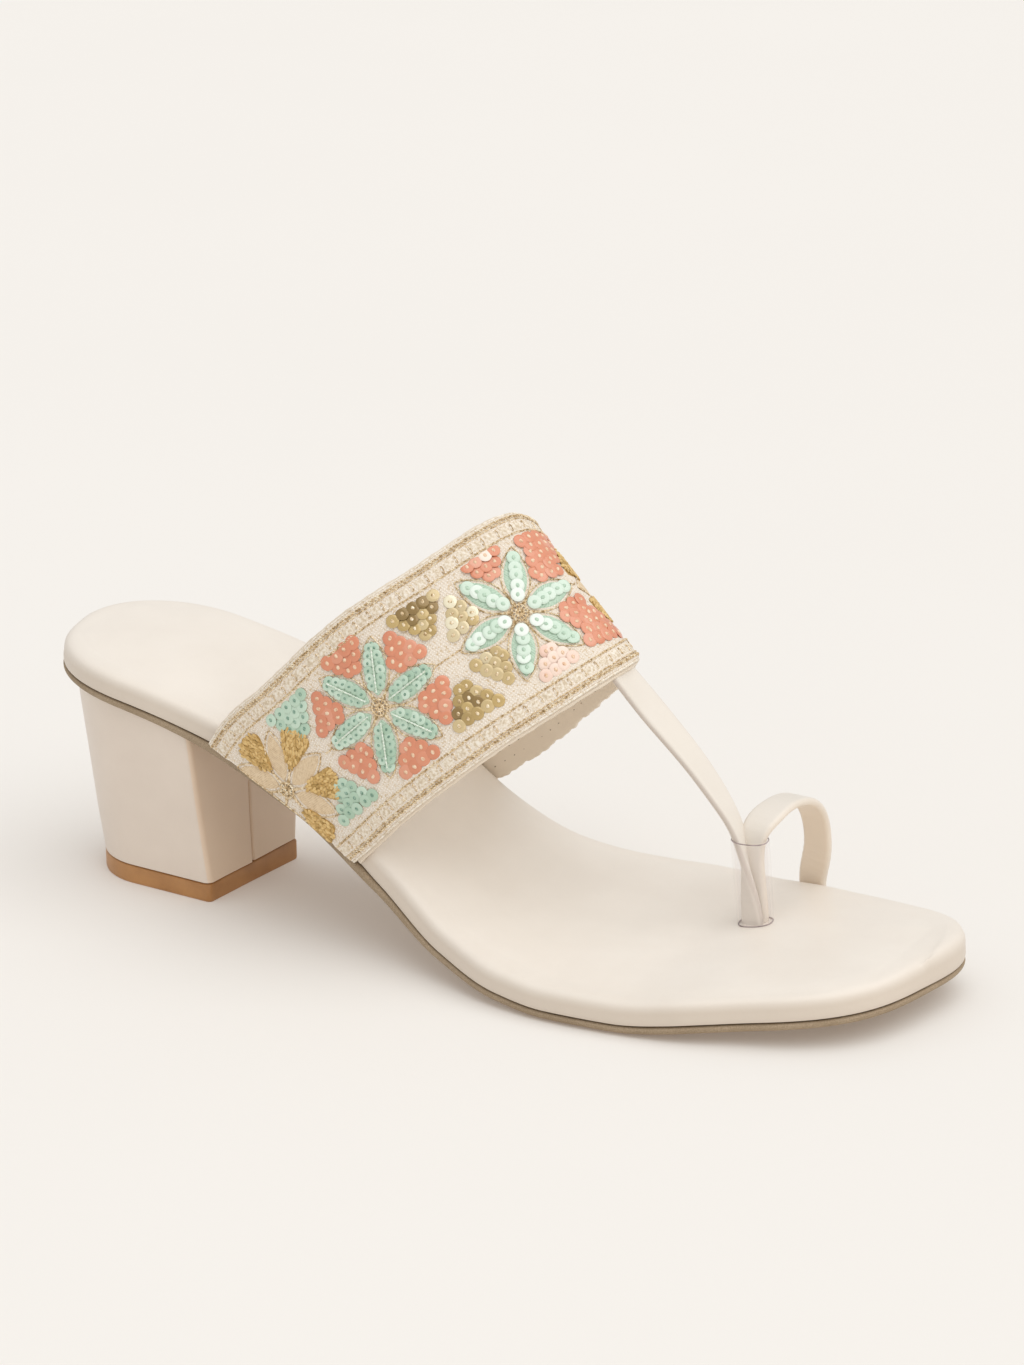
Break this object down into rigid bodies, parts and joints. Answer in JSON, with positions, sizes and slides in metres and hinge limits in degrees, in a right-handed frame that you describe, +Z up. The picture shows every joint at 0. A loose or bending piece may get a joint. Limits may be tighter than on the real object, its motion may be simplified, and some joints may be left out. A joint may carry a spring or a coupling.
{
  "type": "block heel sandal",
  "caption": "Right-foot slip-on sandal with a block heel, an embroidered instep band, a narrow toe strap through a clear post sleeve and a big-toe loop.",
  "frame": {"origin": "centre of the bottom of the sandal's box, on the floor it stands on", "axes": "+X from heel to toe, +Y to the big-toe side, +Z up"},
  "size_m": [0.2558, 0.095, 0.1109],
  "materials": {
    "outsole": "matt khaki sheet with a fine grain",
    "insole": "satin cream faux leather over padding",
    "heel_block": "satin cream faux leather wrapped over the block",
    "heel_top_lift": "satin tan wear piece",
    "upper": "satin cream faux leather straps and lining",
    "band_panel": "woven cream cloth with gold thread, sequins and flower embroidery",
    "post_sleeve": "clear soft plastic"
  },
  "bodies": {
    "root": {"outsole": "outsole", "insole": "insole", "heel_block": "heel_block", "heel_top_lift": "heel_top_lift", "upper": "upper", "band_panel": "band_panel", "post_sleeve": "post_sleeve"}
  },
  "joints": []
}
